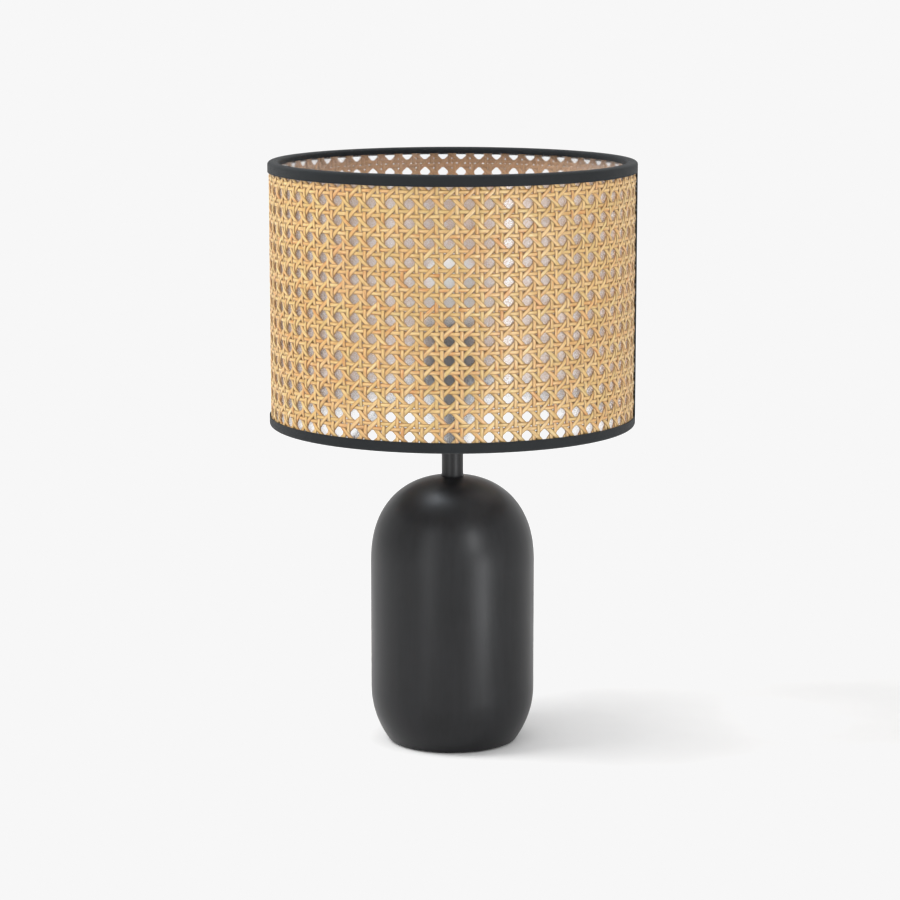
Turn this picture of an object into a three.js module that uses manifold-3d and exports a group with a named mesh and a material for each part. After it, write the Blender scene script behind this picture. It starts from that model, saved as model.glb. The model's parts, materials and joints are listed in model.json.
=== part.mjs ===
// Table lamp: a turned, painted wooden base, a steel neck, an E27 lampholder and a drum shade of
// woven cane on a clear liner, held on a three-armed ring fitter by a screw-on retaining ring.
//
// Millimetres, +Z up. The origin is on the table, on the lamp's axis, under the felt. Azimuths are
// in degrees, counted from the front (-Y) towards the right (+X).

import * as THREE from 'three';
import { mergeVertices } from 'three/addons/utils/BufferGeometryUtils.js';
import Module from 'manifold-3d';

const wasm = await Module();
wasm.setup();

// ---------------------------------------------------------------------------------------------
// Driving dimensions
// ---------------------------------------------------------------------------------------------

const touchGap = 0.3; // left open between pieces that touch, and round a piece in its bore

// base
const baseRadius = 56.8;
const footRadius = 44; // where the flare meets the table
const flareHeight = 38.8;
const flareExponent = 2.18;
const shoulderHeight = 126.2; // top of the straight part
const domeHeight = 60.9;
const domeExponent = 2.3; // 2 is an ellipse, more is squarer
const footEdge = 0.7; // chamfer round the foot
const cavityRadius = 28;
const cavityHeight = 22.3; // ceiling of the wiring cavity, above the table
const feltRadius = 40;
const feltThickness = 2;
const feltProud = 0.8; // the felt's stand-out below the foot

// rod, nut, washer and neck
const rodRadius = 5;
const rodBore = 3.7;
const rodTail = 4.7; // below the nut
const rodHead = 9; // inside the lampholder
const nutAcrossFlats = 14;
const nutHeight = 5;
const washerRadius = 15;
const washerThickness = 2;
const neckRadius = 7.5;
const neckReach = 35.6; // from the dome's top to the lampholder
const neckSocketDepth = 3.1;

// cord outlet, a bush at the back of the base
const cordHoleHeight = 14;
const cordHoleRadius = 3.5;
const bushWall = 1.1;
const bushFlangeRadius = 6.2;
const bushFlangeThickness = 1.5;
const bushTail = 3; // left between the bush's inner end and the cavity

// lampholder and bulb, one inside the other
const bulbThreadRadius = 13.2;
const threadClearance = 0.5;
const shellWall = 1.05;
const insulationGap = 1.95;
const barrelWall = 1.8;
const barrelHeight = 45.7;
const barrelLip = 1.3;
const barrelLipHeight = 1.6;
const holderCapHeight = 26;
const capWall = 1.6;
const capWaistRadius = 15.2;
const shoulderProud = 2; // the flange that the shade sits on
const shoulderThickness = 2;
const blockHeight = 8.7;
const plinthHeight = 3.7;
const plinthRadius = 10;
const shellHeight = 30;
const shellFloor = 0.8;
const contactReach = 5.3; // centre contact, above the shell's floor
const terminalPitch = 16; // between the two terminal screws
const terminalRadius = 1.5;
const terminalHeadRadius = 2.6;
const terminalHeadHeight = 2.4;
const lockScrewRadius = 1.3;
const bulbTipHeight = 3.9; // glass foot and centre contact
const bulbThreadLength = 21.2;
const bulbCollarHeight = 15;
const bulbCollarRadius = 20;
const globeRadius = 22.5;
const globeWall = 1;

// retaining ring and fitter
const ringWidth = 7.2;
const ringHeight = 9;
const fitterClearance = 0.7; // round the barrel
const fitterThickness = 2;
const fitterEdge = 1; // the fitter's stand-out past the retaining ring
const armRadius = 1.6;
const armCount = 3;
const firstArmAzimuth = -34.6;
const armKneeRadius = 72; // where the arms turn down
const armKneeLength = 9;
const armHoleClearance = 0.4; // in the trim

// shade
const shadeRadius = 125.2;
const shadeHeight = 181.4;
const shadeDrop = 26.5; // the lower edge's depth below the middle of the fitter
const trimHeight = 7.1;
const trimThickness = 0.4;
const trimClearance = 0.2; // over the cane
const caneThickness = 1.4;
const linerThickness = 0.4;
const wireRadius = 1.6;
const wireInset = 0.4; // between the wire and the liner
const tapeWidth = 13;
const tapeThickness = 0.45;
const tapeClearance = 0.15; // over the cane
const tapeAzimuth = 86;

// facets in a full turn
const bigSides = 48;
const smallSides = 32;
const tinySides = 16;
const wireSides = 8;
const armSteps = 12;

// ---------------------------------------------------------------------------------------------
// Places worked out from the dimensions
// ---------------------------------------------------------------------------------------------

const footLevel = feltProud;
const domeTop = shoulderHeight + domeHeight;
const boreRadius = rodRadius + touchGap;

const washerTop = cavityHeight - touchGap;
const washerLow = washerTop - washerThickness;
const nutTop = washerLow - touchGap;
const rodLow = nutTop - nutHeight - rodTail;

const neckTop = domeTop + neckReach;
const holderLow = neckTop + touchGap;
const holderSeat = holderLow + holderCapHeight;
const rodTop = holderLow + rodHead;

const shellInner = bulbThreadRadius + threadClearance;
const shellOuter = shellInner + shellWall;
const barrelInner = shellOuter + insulationGap;
const barrelRadius = barrelInner + barrelWall;
const barrelLow = holderSeat + touchGap;
const barrelTop = barrelLow + barrelHeight;
const blockRadius = barrelInner - touchGap - 0.1;
const blockLow = holderSeat + touchGap;
const blockTop = blockLow + blockHeight;
const plinthTop = blockTop + plinthHeight;
const shellLow = plinthTop + touchGap;
const contactTop = shellLow + contactReach;

const bulbLow = contactTop + touchGap;
const bulbThreadLow = bulbLow + bulbTipHeight;
const bulbThreadTop = bulbThreadLow + bulbThreadLength;
const bulbCollarLow = bulbThreadTop + touchGap;
const bulbCollarTop = bulbCollarLow + bulbCollarHeight;

const fitterInner = barrelRadius + fitterClearance;
const ringInner = barrelRadius + touchGap;
const ringRadius = ringInner + ringWidth;
const fitterRadius = ringRadius + fitterEdge;
const fitterLow = holderSeat + touchGap;
const fitterTop = fitterLow + fitterThickness;
const fitterMiddle = (fitterLow + fitterTop) / 2;
const ringLow = fitterTop + touchGap;

const shadeLow = fitterMiddle - shadeDrop;
const shadeTop = shadeLow + shadeHeight;
const caneRadius = shadeRadius - trimThickness - trimClearance;
const caneInner = caneRadius - caneThickness;
const linerRadius = caneInner - touchGap;
const linerInner = linerRadius - linerThickness;
const wireRing = linerInner - wireInset - wireRadius;
const trimInner = wireRing - wireRadius - touchGap;
const edgeInset = trimThickness + touchGap; // the panel's edges inside the folded trims
const lowWireHeight = shadeLow + edgeInset + wireRadius;
const highWireHeight = shadeTop - edgeInset - wireRadius;

// ---------------------------------------------------------------------------------------------
// Shapes
// ---------------------------------------------------------------------------------------------

// A solid of revolution about Y from a profile of [radius, height] points.
function turnedAboutY(profile, sides) {
  const area = profile.reduce((sum, [r, h], i) => {
    const [nextR, nextH] = profile[(i + 1) % profile.length];
    return sum + r * nextH - nextR * h;
  }, 0);
  const points = profile.map(([r, h]) => new THREE.Vector2(r, h));
  return new THREE.LatheGeometry(area < 0 ? points.reverse() : points, sides);
}

// The same about Z, the lamp's axis.
function turned(profile, sides) {
  return turnedAboutY(profile, sides).rotateX(Math.PI / 2);
}

// A profile that closes on itself.
const closed = (profile) => [...profile, profile[0]];

const disc = (radius, low, high, sides) =>
  turned([[0, low], [radius, low], [radius, high], [0, high]], sides);

const tube = (inner, outer, low, high, sides) =>
  turned(closed([[inner, low], [outer, low], [outer, high], [inner, high]]), sides);

// A geometry as a manifold solid: shared vertices merged, faces without area dropped.
function solidOf(geometry) {
  const bare = geometry.index ? geometry.toNonIndexed() : geometry.clone();
  bare.deleteAttribute('normal');
  bare.deleteAttribute('uv');
  const merged = mergeVertices(bare, 1e-4);
  const corners = merged.index.array;
  const kept = [];
  for (let i = 0; i < corners.length; i += 3) {
    const [a, b, c] = corners.slice(i, i + 3);
    if (a !== b && b !== c && c !== a) kept.push(a, b, c);
  }
  return new wasm.Manifold(
    new wasm.Mesh({
      numProp: 3,
      vertProperties: merged.attributes.position.array,
      triVerts: new Uint32Array(kept),
    }),
  );
}

function geometryOf(solid) {
  const mesh = solid.getMesh();
  const geometry = new THREE.BufferGeometry();
  geometry.setAttribute('position', new THREE.BufferAttribute(mesh.vertProperties, 3));
  geometry.setIndex(new THREE.BufferAttribute(mesh.triVerts, 1));
  const faceted = geometry.toNonIndexed();
  faceted.computeVertexNormals();
  return faceted;
}

// The body with each tool cut out of it.
function cut(body, ...tools) {
  return geometryOf(tools.reduce((left, tool) => left.subtract(solidOf(tool)), solidOf(body)));
}

// Where an azimuth, a radius and a height are.
function place(azimuth, radius, height) {
  const turn = THREE.MathUtils.degToRad(azimuth);
  return new THREE.Vector3(radius * Math.sin(turn), -radius * Math.cos(turn), height);
}

// ---------------------------------------------------------------------------------------------
// Base
// ---------------------------------------------------------------------------------------------

// The flare's radius at a height above the table.
function flareRadius(height) {
  const drop = Math.max(0, (flareHeight - height) / flareHeight);
  return baseRadius - (baseRadius - footRadius) * drop ** flareExponent;
}

function flareProfile(steps) {
  const low = footLevel + footEdge;
  return Array.from({ length: steps }, (_, i) => {
    const height = low + ((flareHeight - low) * i) / steps;
    return [flareRadius(height), height];
  });
}

// The dome from the shoulder in to the neck's socket.
function domeProfile(steps, innerRadius) {
  const power = 2 / domeExponent;
  const end = Math.acos((innerRadius / baseRadius) ** (1 / power));
  return Array.from({ length: steps + 1 }, (_, i) => {
    const turn = (end * i) / steps;
    return [baseRadius * Math.cos(turn) ** power, shoulderHeight + domeHeight * Math.sin(turn) ** power];
  });
}

const bushRadius = cordHoleRadius + bushWall;
const pocketRadius = bushFlangeRadius + 2 * touchGap;
const pocketFloor = flareRadius(cordHoleHeight - pocketRadius); // the flat seat's distance behind the axis

function baseBody() {
  const socketRadius = neckRadius + touchGap;
  const recessRadius = feltRadius + touchGap;
  const recessTop = feltThickness + touchGap;
  const body = turned(
    closed([
      [boreRadius, cavityHeight],
      [cavityRadius, cavityHeight],
      [cavityRadius, recessTop],
      [recessRadius, recessTop],
      [recessRadius, footLevel],
      [flareRadius(footLevel) - footEdge, footLevel],
      ...flareProfile(7),
      [baseRadius, flareHeight],
      ...domeProfile(11, socketRadius),
      [socketRadius, domeTop - neckSocketDepth],
      [boreRadius, domeTop - neckSocketDepth],
    ]),
    bigSides,
  );
  const holeRadius = bushRadius + touchGap;
  const hole = new THREE.CylinderGeometry(holeRadius, holeRadius, 2 * baseRadius, tinySides);
  hole.translate(0, baseRadius + cavityRadius / 2, cordHoleHeight);
  const pocket = new THREE.CylinderGeometry(pocketRadius, pocketRadius, baseRadius, 2 * tinySides);
  pocket.translate(0, pocketFloor + baseRadius / 2, cordHoleHeight);
  return cut(body, hole, pocket);
}

function cordBush() {
  const tail = cavityRadius + bushTail;
  const seat = pocketFloor + touchGap;
  return turnedAboutY(
    closed([
      [cordHoleRadius, tail],
      [bushRadius, tail],
      [bushRadius, seat],
      [bushFlangeRadius, seat],
      [bushFlangeRadius, seat + bushFlangeThickness],
      [cordHoleRadius, seat + bushFlangeThickness],
    ]),
    tinySides,
  ).translate(0, 0, cordHoleHeight);
}

function bottomNut() {
  const corner = nutAcrossFlats / 2 / Math.cos(Math.PI / 6);
  const hexagon = new THREE.CylinderGeometry(corner, corner, nutHeight, 6).rotateX(Math.PI / 2);
  const bore = new THREE.CylinderGeometry(boreRadius, boreRadius, 2 * nutHeight, tinySides);
  return cut(hexagon, bore.rotateX(Math.PI / 2)).translate(0, 0, nutTop - nutHeight / 2);
}

// ---------------------------------------------------------------------------------------------
// Lampholder
// ---------------------------------------------------------------------------------------------

const lockScrewHeight = holderLow + 3.2;
const capFootRadius = neckRadius + 2;
const capFloor = holderLow + 5.6; // top of the solid part that the rod passes
const bossRadius = rodRadius + 3;
const capMouth = barrelInner - 1.5;

// The lower cover: a cup that widens to the flange under the shade.
function holderCap() {
  const cup = turned(
    closed([
      [boreRadius, holderLow],
      [capFootRadius, holderLow],
      [capFootRadius + 1.5, holderLow + 1.5],
      [capWaistRadius - 1.6, holderLow + 6],
      [capWaistRadius - 0.6, holderLow + 13],
      [capWaistRadius, holderLow + 18],
      [barrelRadius - 1.2, holderSeat - 3],
      [barrelRadius, holderSeat - shoulderThickness],
      [barrelRadius + shoulderProud, holderSeat - shoulderThickness],
      [barrelRadius + shoulderProud, holderSeat],
      [capMouth, holderSeat],
      [capMouth, holderSeat - 2.5],
      [capWaistRadius - capWall, holderLow + 18],
      [capWaistRadius - 0.6 - capWall, holderLow + 13],
      [capWaistRadius - 1.8 - capWall, capFloor + 0.9],
      [bossRadius, capFloor],
      [bossRadius, capFloor + 2.4],
      [boreRadius, capFloor + 2.4],
    ]),
    smallSides,
  );
  const holeRadius = lockScrewRadius + touchGap;
  const hole = new THREE.CylinderGeometry(holeRadius, holeRadius, capWaistRadius, tinySides);
  return cut(cup, hole.translate(0, capWaistRadius / 2 + rodRadius / 2, lockScrewHeight));
}

// A headless slotted screw along Y, its tip on the rod.
function capLockScrew() {
  const tip = rodRadius + touchGap;
  const length = capWaistRadius - 3.6 - tip;
  const pin = new THREE.CylinderGeometry(lockScrewRadius, lockScrewRadius, length, tinySides);
  const slot = new THREE.BoxGeometry(4 * lockScrewRadius, 2, 0.6);
  return cut(pin, slot.translate(0, length / 2, 0)).translate(0, tip + length / 2, lockScrewHeight);
}

function holderBarrel() {
  return turned(
    closed([
      [barrelInner, barrelLow],
      [barrelRadius, barrelLow],
      [barrelRadius, barrelTop - 0.6],
      [barrelRadius - 0.6, barrelTop],
      [barrelInner - barrelLip, barrelTop],
      [barrelInner - barrelLip, barrelTop - barrelLipHeight],
      [barrelInner, barrelTop - barrelLipHeight],
    ]),
    smallSides,
  );
}

function contactBlock() {
  const block = turned(
    [
      [0, blockLow],
      [blockRadius, blockLow],
      [blockRadius, blockTop],
      [plinthRadius, blockTop],
      [plinthRadius, plinthTop],
      [0, plinthTop],
    ],
    smallSides,
  );
  const holeRadius = terminalRadius + touchGap;
  const holes = [-1, 1].map((side) => {
    const hole = new THREE.CylinderGeometry(holeRadius, holeRadius, blockHeight, tinySides);
    return hole.rotateX(Math.PI / 2).translate((side * terminalPitch) / 2, 0, blockLow);
  });
  return cut(block, ...holes);
}

// A slotted cheese-head screw, head down, up into the contact block.
function terminalScrew(side) {
  const headTop = blockLow - touchGap;
  const headLow = headTop - terminalHeadHeight;
  const screw = turned(
    [
      [0, headLow],
      [terminalHeadRadius, headLow],
      [terminalHeadRadius, headTop],
      [terminalRadius, headTop],
      [terminalRadius, blockLow + blockHeight / 2 - touchGap],
      [0, blockLow + blockHeight / 2 - touchGap],
    ],
    tinySides,
  );
  const slot = new THREE.BoxGeometry(3 * terminalHeadRadius, 0.8, 2).translate(0, 0, headLow);
  return cut(screw, slot).translate((side * terminalPitch) / 2, 0, 0);
}

const contactHole = plinthRadius - 2; // in the shell's floor

function socketShell() {
  return turned(
    closed([
      [contactHole, shellLow],
      [shellOuter, shellLow],
      [shellOuter, shellLow + shellHeight],
      [shellInner, shellLow + shellHeight],
      [shellInner, shellLow + shellFloor],
      [contactHole, shellLow + shellFloor],
    ]),
    smallSides,
  );
}

// A strip on the plinth, folded back on itself as a springy tongue.
function centreContact() {
  const low = plinthTop + touchGap;
  const strip = 0.8;
  const reach = 5;
  const outline = new THREE.Shape();
  outline.moveTo(-reach, low);
  outline.lineTo(reach, low);
  outline.quadraticCurveTo(reach + 2, (low + contactTop) / 2, 2, contactTop);
  outline.lineTo(-2, contactTop);
  outline.lineTo(-2, contactTop - strip);
  outline.lineTo(2, contactTop - strip);
  outline.quadraticCurveTo(reach + 0.6, (low + contactTop) / 2, reach - 0.4, low + strip);
  outline.lineTo(-reach, low + strip);
  outline.closePath();
  const tongue = new THREE.ExtrudeGeometry(outline, { depth: 4, bevelEnabled: false, curveSegments: 6 });
  return tongue.translate(0, 0, -2).rotateX(Math.PI / 2);
}

// The side contact: a post between the block and the shell's floor.
function shellContact() {
  const low = blockTop + touchGap;
  const high = shellLow - touchGap;
  const inner = plinthRadius + touchGap;
  const outer = shellOuter - 0.6;
  const post = new THREE.BoxGeometry(outer - inner, 5, high - low);
  return post.translate((inner + outer) / 2, 0, (low + high) / 2);
}

// ---------------------------------------------------------------------------------------------
// Bulb
// ---------------------------------------------------------------------------------------------

function bulbTip() {
  const capFloorRadius = bulbThreadRadius - 2.2;
  return turned(
    [
      [0, bulbLow],
      [4.6, bulbLow],
      [5, bulbLow + 1],
      [capFloorRadius, bulbThreadLow - touchGap],
      [0, bulbThreadLow - touchGap],
    ],
    smallSides,
  );
}

function bulbThread() {
  const wall = 0.8;
  return turned(
    closed([
      [bulbThreadRadius - 2.4, bulbThreadLow],
      [bulbThreadRadius, bulbThreadLow + 1.6],
      [bulbThreadRadius, bulbThreadTop],
      [bulbThreadRadius - wall, bulbThreadTop],
      [bulbThreadRadius - wall, bulbThreadLow + 2.4],
      [bulbThreadRadius - 3.4, bulbThreadLow + 0.8],
    ]),
    smallSides,
  );
}

const globeSeat = Math.sqrt(globeRadius ** 2 - bulbCollarRadius ** 2);
const globeLow = bulbCollarTop + touchGap;
const globeMiddle = globeLow + globeSeat;

function bulbCollar() {
  const wall = 1.2;
  const neck = bulbThreadRadius + 0.4;
  return turned(
    closed([
      [neck, bulbCollarLow],
      [neck + 0.6, bulbCollarLow + 3],
      [bulbCollarRadius - 2.5, bulbCollarTop - 5],
      [bulbCollarRadius, bulbCollarTop],
      [bulbCollarRadius - wall, bulbCollarTop],
      [bulbCollarRadius - 2.5 - wall, bulbCollarTop - 5],
      [neck + 0.6 - wall, bulbCollarLow + 3],
      [neck - wall, bulbCollarLow],
    ]),
    smallSides,
  );
}

// The opal globe: a thin ball, open where the collar holds it.
function bulbGlobe() {
  const inner = globeRadius - globeWall;
  const low = -Math.asin(globeSeat / globeRadius);
  const innerLow = -Math.asin(globeSeat / inner);
  const steps = 8;
  const arc = (radius, from, to) =>
    Array.from({ length: steps + 1 }, (_, i) => {
      const turn = from + ((to - from) * i) / steps;
      return [i === steps ? 0 : radius * Math.cos(turn), globeMiddle + radius * Math.sin(turn)];
    });
  const outside = arc(globeRadius, low, Math.PI / 2);
  const inside = arc(inner, innerLow, Math.PI / 2).reverse();
  return turned([...inside, ...outside], smallSides);
}

const ledBoard = () =>
  disc(bulbCollarRadius - 4.4, bulbCollarTop - 3, bulbCollarTop - 1.4, smallSides);

// ---------------------------------------------------------------------------------------------
// Shade
// ---------------------------------------------------------------------------------------------

function retainingRing() {
  const edge = 0.8;
  return turned(
    closed([
      [ringInner, ringLow],
      [ringRadius - edge, ringLow],
      [ringRadius, ringLow + edge],
      [ringRadius, ringLow + ringHeight - edge],
      [ringRadius - edge, ringLow + ringHeight],
      [ringInner, ringLow + ringHeight],
    ]),
    smallSides,
  );
}

// An arm's line: level out of the fitter, round a knee, then straight at the lower wire.
// Its end stops short of the wire's middle by the given distance.
function armPath(azimuth, stop) {
  const knee = place(azimuth, armKneeRadius, fitterMiddle);
  const wire = place(azimuth, wireRing, lowWireHeight);
  const start = place(azimuth, fitterRadius + touchGap, fitterMiddle);
  const level = start.clone().sub(knee).normalize();
  const slope = wire.clone().sub(knee).normalize();
  const bendStart = knee.clone().addScaledVector(level, armKneeLength);
  const bendEnd = knee.clone().addScaledVector(slope, armKneeLength);
  const path = new THREE.CurvePath();
  path.add(new THREE.LineCurve3(start, bendStart));
  path.add(new THREE.QuadraticBezierCurve3(bendStart, knee, bendEnd));
  path.add(new THREE.LineCurve3(bendEnd, wire.clone().addScaledVector(slope, -stop)));
  return path;
}

function armTube(azimuth, radius, stop) {
  const section = new THREE.Shape().absarc(0, 0, radius, 0, 2 * Math.PI);
  return new THREE.ExtrudeGeometry(section, {
    steps: armSteps,
    curveSegments: wireSides / 2,
    extrudePath: armPath(azimuth, stop),
    bevelEnabled: false,
  });
}

const armAzimuths = Array.from({ length: armCount }, (_, i) => firstArmAzimuth + (i * 360) / armCount);
const spiderArm = (azimuth) => armTube(azimuth, armRadius, wireRadius + touchGap);

const rimWire = (height) =>
  new THREE.TorusGeometry(wireRing, wireRadius, wireSides, bigSides).translate(0, 0, height);

// A folded strip over the panel's edge and the rim wire: up says which way its fold points.
function trim(edge, up) {
  const at = (height) => edge - up * height;
  return turned(
    closed([
      [trimInner - trimThickness, at(0)],
      [shadeRadius, at(0)],
      [shadeRadius, at(trimHeight)],
      [shadeRadius - trimThickness, at(trimHeight)],
      [shadeRadius - trimThickness, at(trimThickness)],
      [trimInner, at(trimThickness)],
      [trimInner, at(trimHeight)],
      [trimInner - trimThickness, at(trimHeight)],
    ]),
    bigSides,
  );
}

// The lower trim has a hole round each arm.
function bottomTrim() {
  const holes = armAzimuths.map((azimuth) => armTube(azimuth, armRadius + armHoleClearance, wireRadius));
  return cut(trim(shadeLow, -1), ...holes);
}

// The tape over the cane's upright seam, from trim to trim.
function seamTape() {
  const inner = caneRadius + tapeClearance;
  const outer = inner + tapeThickness;
  const middle = THREE.MathUtils.degToRad(tapeAzimuth - 90);
  const half = tapeWidth / 2 / outer;
  const outline = new THREE.Shape();
  outline.absarc(0, 0, outer, middle - half, middle + half, false);
  outline.absarc(0, 0, inner, middle + half, middle - half, true);
  const depth = shadeHeight - 2 * (trimHeight + touchGap);
  const strip = new THREE.ExtrudeGeometry(outline, { depth, bevelEnabled: false, curveSegments: 4 });
  return strip.translate(0, 0, shadeLow + trimHeight + touchGap);
}

// ---------------------------------------------------------------------------------------------
// Materials and assembly
// ---------------------------------------------------------------------------------------------

const finish = (color, roughness, metalness = 0) => () =>
  new THREE.MeshStandardMaterial({ color, roughness, metalness });

const blackLacquer = finish(0x2b2b2d, 0.48);
const blackSteel = finish(0x2a2a2c, 0.4, 0.3);
const blackPlastic = finish(0x1f1f21, 0.45);
const zincSteel = finish(0xb4b6b8, 0.35, 1);
const brass = finish(0xc3a15a, 0.3, 1);
const nickel = finish(0xc8c8c6, 0.25, 1);
const ceramic = finish(0xe8e4da, 0.5);
const opal = finish(0xf4f2ec, 0.35);
const whitePlastic = finish(0xeeeeea, 0.4);
const felt = finish(0x17171a, 0.95);
const cane = finish(0xc9a66b, 0.55);
const clearFilm = finish(0xdfe2e4, 0.2);
const blackCloth = finish(0x24252b, 0.85);

const pieces = [
  // base and neck
  ['base_body', baseBody(), blackLacquer],
  ['felt_pad', disc(feltRadius, 0, feltThickness, bigSides), felt],
  ['bottom_washer', tube(boreRadius, washerRadius, washerLow, washerTop, smallSides), zincSteel],
  ['bottom_nut', bottomNut(), zincSteel],
  ['threaded_rod', tube(rodBore, rodRadius, rodLow, rodTop, tinySides), zincSteel],
  ['cord_bush', cordBush(), blackPlastic],
  [
    'neck_tube',
    tube(boreRadius, neckRadius, domeTop - neckSocketDepth + touchGap, neckTop, smallSides),
    blackSteel,
  ],
  // lampholder
  ['holder_cap', holderCap(), blackPlastic],
  ['cap_lock_screw', capLockScrew(), zincSteel],
  ['holder_barrel', holderBarrel(), blackPlastic],
  ['contact_block', contactBlock(), ceramic],
  ['socket_shell', socketShell(), brass],
  ['centre_contact', centreContact(), brass],
  ['shell_contact', shellContact(), brass],
  ['terminal_screw_live', terminalScrew(1), zincSteel],
  ['terminal_screw_neutral', terminalScrew(-1), zincSteel],
  ['retaining_ring', retainingRing(), blackPlastic],
  // bulb
  ['bulb_tip', bulbTip(), ceramic],
  ['bulb_screw_cap', bulbThread(), nickel],
  ['bulb_collar', bulbCollar(), whitePlastic],
  ['led_board', ledBoard(), whitePlastic],
  ['bulb_globe', bulbGlobe(), opal],
  // shade
  ['fitter_ring', tube(fitterInner, fitterRadius, fitterLow, fitterTop, smallSides), blackSteel],
  ...armAzimuths.map((azimuth, i) => [`spider_arm_${i + 1}`, spiderArm(azimuth), blackSteel]),
  ['bottom_rim_wire', rimWire(lowWireHeight), blackSteel],
  ['top_rim_wire', rimWire(highWireHeight), blackSteel],
  [
    'film_liner',
    tube(linerInner, linerRadius, shadeLow + edgeInset, shadeTop - edgeInset, bigSides),
    clearFilm,
  ],
  [
    'cane_panel',
    tube(caneInner, caneRadius, shadeLow + edgeInset, shadeTop - edgeInset, bigSides),
    cane,
  ],
  ['bottom_trim', bottomTrim(), blackCloth],
  ['top_trim', trim(shadeTop, 1), blackCloth],
  ['seam_tape', seamTape(), blackCloth],
];

const lamp = new THREE.Group();
for (const [name, geometry, material] of pieces) {
  const mesh = new THREE.Mesh(geometry, material());
  mesh.name = name;
  lamp.add(mesh);
}

export default lamp;
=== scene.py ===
import json
import math

import bmesh
import bpy
import numpy as np
from mathutils import Matrix, Vector


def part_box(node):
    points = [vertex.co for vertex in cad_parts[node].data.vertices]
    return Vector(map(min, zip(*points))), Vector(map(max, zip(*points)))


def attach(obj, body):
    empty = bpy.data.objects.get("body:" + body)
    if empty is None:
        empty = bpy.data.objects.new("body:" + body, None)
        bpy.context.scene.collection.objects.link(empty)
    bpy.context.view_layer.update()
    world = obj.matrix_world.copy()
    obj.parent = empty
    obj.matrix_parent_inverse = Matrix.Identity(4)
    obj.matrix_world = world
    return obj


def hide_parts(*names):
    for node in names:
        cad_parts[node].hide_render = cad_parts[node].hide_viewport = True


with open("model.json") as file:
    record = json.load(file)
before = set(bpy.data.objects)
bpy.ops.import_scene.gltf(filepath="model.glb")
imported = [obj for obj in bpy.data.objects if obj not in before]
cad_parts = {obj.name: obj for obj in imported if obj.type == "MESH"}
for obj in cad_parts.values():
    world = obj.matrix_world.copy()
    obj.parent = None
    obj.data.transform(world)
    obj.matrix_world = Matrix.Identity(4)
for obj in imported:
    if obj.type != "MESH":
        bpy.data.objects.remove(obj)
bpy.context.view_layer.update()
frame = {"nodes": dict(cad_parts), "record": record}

# shapes are worked out in millimetres and go into the meshes in metres
mm = 0.001
tau = 2 * math.pi
rng = np.random.default_rng(41)


def sizeOf(node):  # a turned CAD node's outer radius, bottom and top
    low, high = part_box(node)
    return {"radius": high.x / mm, "low": low.z / mm, "high": high.z / mm}


shadeLow = sizeOf("bottom_trim")["low"]
shadeHigh = sizeOf("top_trim")["high"]
shadeRadius = sizeOf("top_trim")["radius"]
print("frame read: shade from", round(shadeLow, 1), "to", round(shadeHigh, 1), "mm")


# the camera comes first; lengths in millimetres, pitch in degrees below level
camera = {"side": -1.7, "back": 2046.0, "height": 564.1, "pitch": 9.96, "lens": 120.08}


def makeCamera():
    data = bpy.data.cameras.new("camera")
    data.lens = camera["lens"]
    data.sensor_width = 36
    data.clip_end = 100
    eye = bpy.data.objects.new("camera", data)
    eye.location = Vector((camera["side"], -camera["back"], camera["height"])) * mm
    eye.rotation_euler = (math.radians(90 - camera["pitch"]), 0, 0)
    bpy.context.scene.collection.objects.link(eye)
    bpy.context.scene.camera = eye


makeCamera()


class Value:  # an output socket that can be added, multiplied and so on
    def __init__(self, finish, socket):
        self.finish, self.socket = finish, socket

    def calc(self, operation, first, second=0.0):
        return self.finish.node("ShaderNodeMath", {"operation": operation}, {0: first, 1: second})

    def __add__(self, other):
        return self.calc("ADD", self, other)

    def __sub__(self, other):
        return self.calc("SUBTRACT", self, other)

    def __rsub__(self, other):
        return self.calc("SUBTRACT", other, self)

    def __mul__(self, other):
        return self.calc("MULTIPLY", self, other)

    def __pow__(self, other):
        return self.calc("POWER", self, other)

    def __abs__(self):
        return self.calc("ABSOLUTE", self)

    __radd__ = __add__
    __rmul__ = __mul__

    def sine(self):
        return self.calc("SINE", self)


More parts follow.
